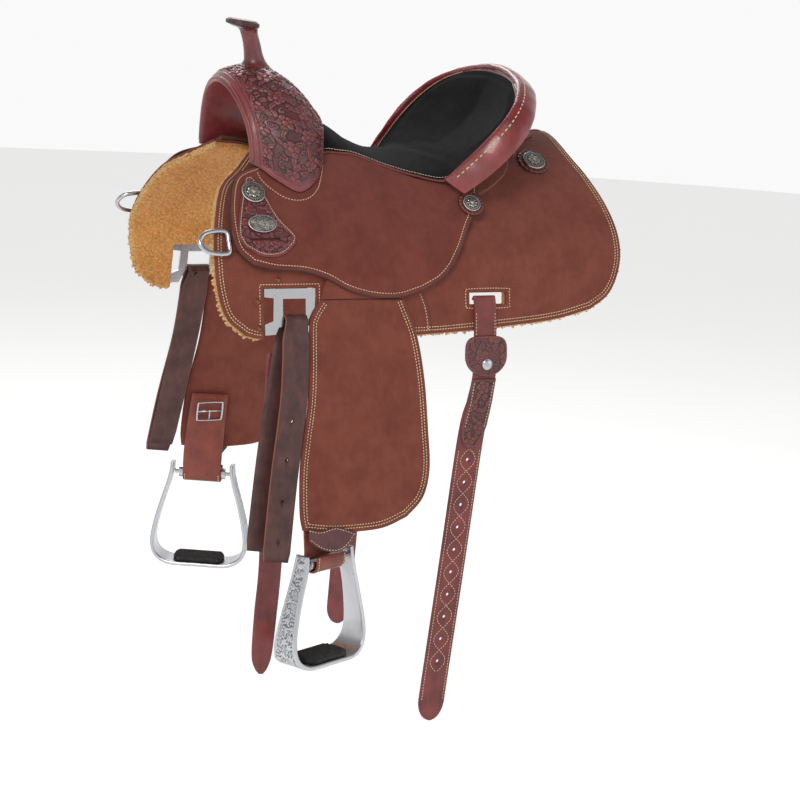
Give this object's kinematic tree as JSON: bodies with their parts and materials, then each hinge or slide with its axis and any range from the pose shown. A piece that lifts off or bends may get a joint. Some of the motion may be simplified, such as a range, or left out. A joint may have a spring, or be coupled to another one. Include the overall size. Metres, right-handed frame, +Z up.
{
  "type": "western saddle",
  "caption": "Western barrel saddle: tooled swell and horn, dished suede seat with rolled cantle binding, roughout skirts and fenders, metal stirrups and hanging straps.",
  "frame": {"origin": "on the horse's back, on the centre plane, under the middle of the skirts", "axes": "+X towards the cantle and the horse's tail, +Y towards the horse's off (right) side, +Z up"},
  "size_m": [0.7169, 0.6828, 1.0839],
  "materials": {
    "roughout_leather": "matt roughout cowhide, red-brown, flesh side out",
    "tooled_leather": "burgundy skirting leather, floral tooling, waxed",
    "binding_leather": "glossy red-brown binding leather",
    "latigo_leather": "dark oiled latigo leather",
    "strap_leather": "dyed harness leather, satin",
    "black_suede": "black suede, brushed nap",
    "fleece": "dense wool fleece lining, honey coloured",
    "tree_wood": "rawhide-covered wood",
    "stainless_steel": "polished stainless steel",
    "antique_silver": "antiqued engraved silver",
    "aluminium": "cast aluminium, polished and engraved",
    "tread_rubber": "black ribbed rubber"
  },
  "bodies": {
    "saddle": {"tree_fork": "tree_wood", "tree_cantle": "tree_wood", "ground_seat": "strap_leather", "swell_cover": "tooled_leather", "horn_neck": "tooled_leather", "horn_cap": "strap_leather", "seat_pad": "black_suede", "cantle_binding": "binding_leather", "cantle_back": "roughout_leather", "rear_jockey": "tooled_leather", "tree_bar_near": "tree_wood", "skirt_near": "roughout_leather", "fleece_near": "fleece", "seat_jockey_near": "roughout_leather", "keeper_patch_near": "tooled_leather", "rigging_plate_near": "stainless_steel", "dee_tab_near": "strap_leather", "front_concho_near": "antique_silver", "oval_concho_near": "antique_silver", "seat_concho_near": "antique_silver", "rear_concho_near": "antique_silver", "tree_bar_off": "tree_wood", "skirt_off": "roughout_leather", "fleece_off": "fleece", "seat_jockey_off": "roughout_leather", "keeper_patch_off": "tooled_leather", "rigging_plate_off": "stainless_steel", "dee_tab_off": "strap_leather", "front_concho_off": "antique_silver", "oval_concho_off": "antique_silver", "seat_concho_off": "antique_silver", "rear_concho_off": "antique_silver"},
    "stirrup_leather_near": {"stirrup_leather_near": "roughout_leather"},
    "fender_near": {"fender_near": "roughout_leather", "stirrup_loop_near": "strap_leather", "stirrup_buckle_near": "stainless_steel", "hobble_strap_near": "latigo_leather"},
    "stirrup_near": {"stirrup_near": "aluminium", "stirrup_tread_near": "tread_rubber", "stirrup_bolt_near": "stainless_steel"},
    "flank_billet_near": {"flank_billet_near": "strap_leather"},
    "billet_flap_near": {"billet_flap_near": "tooled_leather", "billet_snap_near": "stainless_steel"},
    "dee_ring_near": {"dee_ring_near": "stainless_steel"},
    "stirrup_leather_off": {"stirrup_leather_off": "roughout_leather"},
    "fender_off": {"fender_off": "roughout_leather", "stirrup_loop_off": "strap_leather", "stirrup_buckle_off": "stainless_steel", "hobble_strap_off": "latigo_leather"},
    "stirrup_off": {"stirrup_off": "aluminium", "stirrup_tread_off": "tread_rubber", "stirrup_bolt_off": "stainless_steel"},
    "flank_billet_off": {"flank_billet_off": "strap_leather"},
    "billet_flap_off": {"billet_flap_off": "tooled_leather", "billet_snap_off": "stainless_steel"},
    "dee_ring_off": {"dee_ring_off": "stainless_steel"},
    "latigo": {"latigo_strap": "latigo_leather"},
    "latigo_end": {"latigo_end": "strap_leather"},
    "off_billet": {"off_billet": "latigo_leather"}
  },
  "joints": [
    {"name": "stirrup_swing_near", "type": "hinge", "parent": "saddle", "child": "stirrup_leather_near", "pos_m": [-0.15, -0.20036, -0.02601], "axis": [0, 0.9848, -0.1736], "range_deg": [-9, 0]},
    {"name": "fender_lift_near", "type": "hinge", "parent": "stirrup_leather_near", "child": "fender_near", "pos_m": [-0.1, -0.22671, -0.14373], "axis": [-1, 0, 0], "range_deg": [0, 30]},
    {"name": "stirrup_tilt_near", "type": "hinge", "parent": "fender_near", "child": "stirrup_near", "pos_m": [-0.164, -0.283, -0.54], "axis": [0.891, 0.454, 0], "range_deg": [-15, 15]},
    {"name": "flank_billet_lift_near", "type": "hinge", "parent": "saddle", "child": "flank_billet_near", "pos_m": [0.108, -0.22369, -0.1468], "axis": [-1, 0, 0], "range_deg": [0, 45]},
    {"name": "billet_flap_open_near", "type": "hinge", "parent": "flank_billet_near", "child": "billet_flap_near", "pos_m": [0.073, -0.2406, -0.236], "axis": [0, 0, -1], "range_deg": [0, 80]},
    {"name": "dee_ring_flip_near", "type": "hinge", "parent": "saddle", "child": "dee_ring_near", "pos_m": [-0.314, -0.20437, -0.05756], "axis": [0, 0.5058, 0.8627], "range_deg": [0, 110]},
    {"name": "stirrup_swing_off", "type": "hinge", "parent": "saddle", "child": "stirrup_leather_off", "pos_m": [-0.15, 0.20036, -0.02601], "axis": [0, 0.9848, 0.1736], "range_deg": [-9, 0]},
    {"name": "fender_lift_off", "type": "hinge", "parent": "stirrup_leather_off", "child": "fender_off", "pos_m": [-0.1, 0.22671, -0.14373], "axis": [1, 0, 0], "range_deg": [0, 30]},
    {"name": "stirrup_tilt_off", "type": "hinge", "parent": "fender_off", "child": "stirrup_off", "pos_m": [-0.164, 0.283, -0.54], "axis": [0.891, -0.454, 0], "range_deg": [-15, 15]},
    {"name": "flank_billet_lift_off", "type": "hinge", "parent": "saddle", "child": "flank_billet_off", "pos_m": [0.108, 0.22369, -0.1468], "axis": [1, 0, 0], "range_deg": [0, 45]},
    {"name": "billet_flap_open_off", "type": "hinge", "parent": "flank_billet_off", "child": "billet_flap_off", "pos_m": [0.073, 0.2406, -0.236], "axis": [0, 0, 1], "range_deg": [0, 80]},
    {"name": "dee_ring_flip_off", "type": "hinge", "parent": "saddle", "child": "dee_ring_off", "pos_m": [-0.314, 0.20437, -0.05756], "axis": [0, 0.5058, -0.8627], "range_deg": [0, 110]},
    {"name": "latigo_lift", "type": "hinge", "parent": "saddle", "child": "latigo", "pos_m": [-0.2095, -0.22521, -0.17699], "axis": [-1, 0, 0], "range_deg": [0, 40]},
    {"name": "latigo_end_swing", "type": "hinge", "parent": "saddle", "child": "latigo_end", "pos_m": [-0.228, -0.217, -0.215], "axis": [0, 1, 0], "range_deg": [0, 25]},
    {"name": "off_billet_lift", "type": "hinge", "parent": "saddle", "child": "off_billet", "pos_m": [-0.2095, 0.22521, -0.17699], "axis": [1, 0, 0], "range_deg": [0, 40]}
  ]
}
